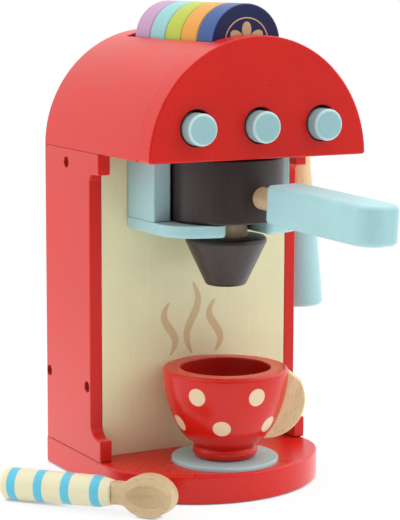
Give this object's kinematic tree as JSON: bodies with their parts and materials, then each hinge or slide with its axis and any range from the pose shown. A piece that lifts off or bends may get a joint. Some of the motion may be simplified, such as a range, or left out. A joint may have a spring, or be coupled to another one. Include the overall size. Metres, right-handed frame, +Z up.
{
  "type": "toy coffee maker",
  "caption": "Wooden toy espresso machine: rounded head with push buttons, capsules in a top slot, sliding filter holder, steam wand, dotted cup and banded spoon.",
  "frame": {"origin": "underside of the base plate, at the middle of its width and depth", "axes": "+Z up, -Y the front (buttons, filter handle), +X the machine's steam wand side"},
  "size_m": [0.2441, 0.2504, 0.2954],
  "materials": {
    "machine_red": "satin red paint",
    "board_cream": "satin cream paint",
    "turquoise": "satin pale turquoise paint",
    "brown_stain": "dark brown stain, open grain",
    "natural_wood": "clear lacquer on beech",
    "saucer_grey": "satin grey turquoise paint",
    "cup_red": "satin red paint with cream dots",
    "spoon_cream": "satin cream paint with blue bands",
    "capsule_blue": "satin blue paint, printed face",
    "capsule_orange": "satin orange paint",
    "capsule_lime": "satin lime paint",
    "capsule_aqua": "satin aqua paint",
    "capsule_lilac": "satin lilac paint",
    "steel": "zinc plated steel"
  },
  "bodies": {
    "machine": {"base_plate": "machine_red", "side_panel_left": "machine_red", "side_panel_right": "machine_red", "front_board": "board_cream", "back_panel": "machine_red", "top_board": "machine_red", "head_front_plate": "machine_red", "head_shell": "machine_red", "head_back_plate": "machine_red", "head_floor": "machine_red", "trough_floor": "natural_wood", "trough_rail_left": "natural_wood", "trough_rail_right": "natural_wood", "trough_end_stop": "natural_wood", "button_board": "natural_wood", "button_spring_left": "steel", "button_spring_middle": "steel", "button_spring_right": "steel", "holder_block_left": "turquoise", "holder_block_right": "turquoise", "holder_plate": "turquoise", "saucer": "saucer_grey", "wand_peg": "natural_wood", "wand_spacer": "natural_wood", "side_screws": "steel", "base_screws": "steel", "head_screws": "steel", "panel_dowels": "natural_wood", "front_plate_dowels": "natural_wood", "holder_block_dowels": "natural_wood", "holder_plate_dowels": "natural_wood"},
    "left_button": {"button_left": "turquoise", "button_ring_left": "natural_wood"},
    "middle_button": {"button_middle": "turquoise", "button_ring_middle": "natural_wood"},
    "right_button": {"button_right": "turquoise", "button_ring_right": "natural_wood"},
    "filter_neck": {"neck_dowel": "natural_wood", "spout_cone": "brown_stain"},
    "filter_holder": {"filter_drum": "brown_stain", "handle_dowel": "natural_wood", "paddle_handle": "turquoise"},
    "steam_wand": {"wand_stem": "natural_wood", "wand_nozzle": "turquoise"},
    "blue_capsule": {"capsule_blue": "capsule_blue"},
    "orange_capsule": {"capsule_orange": "capsule_orange"},
    "lime_capsule": {"capsule_lime": "capsule_lime"},
    "aqua_capsule": {"capsule_aqua": "capsule_aqua"},
    "lilac_capsule": {"capsule_lilac": "capsule_lilac"},
    "coffee_cup": {"cup": "cup_red", "cup_handle": "natural_wood"},
    "spoon": {"spoon_handle": "spoon_cream", "spoon_bowl": "natural_wood"}
  },
  "joints": [
    {"name": "left_button_press", "type": "slide", "parent": "machine", "child": "left_button", "axis": [0, 1, 0], "range_m": [0, 0.0045], "stiffness_N_per_m": 150, "springref_m": -0.003, "deforming": ["button_spring_left"]},
    {"name": "middle_button_press", "type": "slide", "parent": "machine", "child": "middle_button", "axis": [0, 1, 0], "range_m": [0, 0.0045], "stiffness_N_per_m": 150, "springref_m": -0.003, "deforming": ["button_spring_middle"]},
    {"name": "right_button_press", "type": "slide", "parent": "machine", "child": "right_button", "axis": [0, 1, 0], "range_m": [0, 0.0045], "stiffness_N_per_m": 150, "springref_m": -0.003, "deforming": ["button_spring_right"]},
    {"name": "filter_slide", "type": "slide", "parent": "machine", "child": "filter_neck", "axis": [0, -1, 0], "range_m": [0, 0.08]},
    {"name": "filter_turn", "type": "hinge", "parent": "filter_neck", "child": "filter_holder", "pos_m": [0, -0.0362, 0.186], "axis": [0, 0, 1], "range_deg": [-68, 52]},
    {"name": "wand_swing", "type": "hinge", "parent": "machine", "child": "steam_wand", "pos_m": [0.091, 0.0317, 0.2123], "axis": [1, 0, 0], "range_deg": [-45, 45]},
    {"name": "blue_capsule_lift", "type": "slide", "parent": "machine", "child": "blue_capsule", "axis": [0, 0, 1], "range_m": [0, 0.04]},
    {"name": "orange_capsule_lift", "type": "slide", "parent": "machine", "child": "orange_capsule", "axis": [0, 0, 1], "range_m": [0, 0.04]},
    {"name": "lime_capsule_lift", "type": "slide", "parent": "machine", "child": "lime_capsule", "axis": [0, 0, 1], "range_m": [0, 0.04]},
    {"name": "aqua_capsule_lift", "type": "slide", "parent": "machine", "child": "aqua_capsule", "axis": [0, 0, 1], "range_m": [0, 0.04]},
    {"name": "lilac_capsule_lift", "type": "slide", "parent": "machine", "child": "lilac_capsule", "axis": [0, 0, 1], "range_m": [0, 0.04]},
    {"name": "cup_lift", "type": "slide", "parent": "machine", "child": "coffee_cup", "axis": [0, 0, 1], "range_m": [0, 0.04]},
    {"name": "spoon_lift", "type": "slide", "parent": "machine", "child": "spoon", "axis": [0, 0, 1], "range_m": [0, 0.05]}
  ]
}
